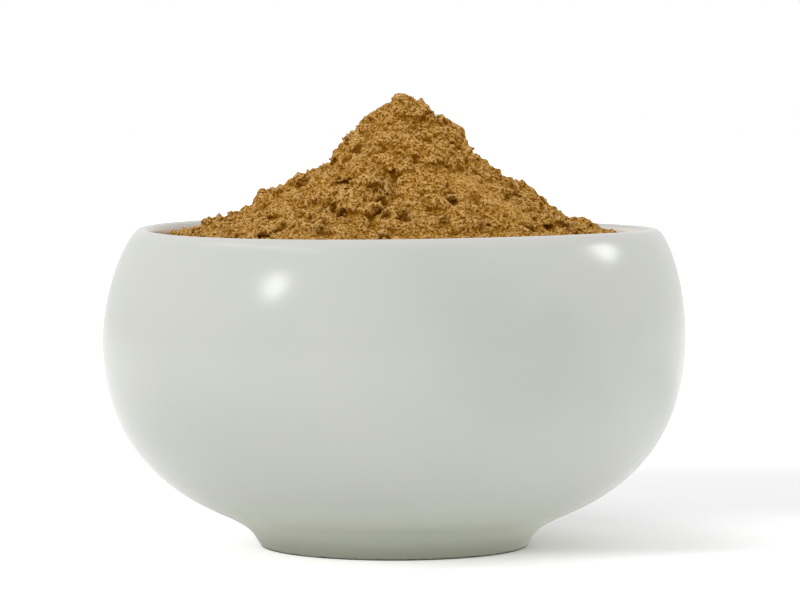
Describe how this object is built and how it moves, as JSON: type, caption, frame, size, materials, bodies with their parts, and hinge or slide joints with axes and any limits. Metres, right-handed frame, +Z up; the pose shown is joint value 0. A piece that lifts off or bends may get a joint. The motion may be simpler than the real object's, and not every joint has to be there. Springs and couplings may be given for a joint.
{
  "type": "bowl of mushroom powder",
  "caption": "Small round-bellied glazed porcelain bowl on a foot ring, heaped with a crumbly cone of brown mushroom powder.",
  "frame": {"origin": "centre of the foot ring, on the surface that the bowl stands on", "axes": "+Z up through the bowl and the heap; -Y is the side that faces the viewer and +X is to the viewer's right"},
  "size_m": [0.11, 0.11, 0.0849],
  "materials": {
    "celadon_glaze": "glossy pale grey-green glaze, unglazed contact ring on the foot",
    "mushroom_powder": "dry matte crumbly powder, tan brown"
  },
  "bodies": {
    "root": {"bowl": "celadon_glaze", "powder_heap": "mushroom_powder"}
  },
  "joints": []
}
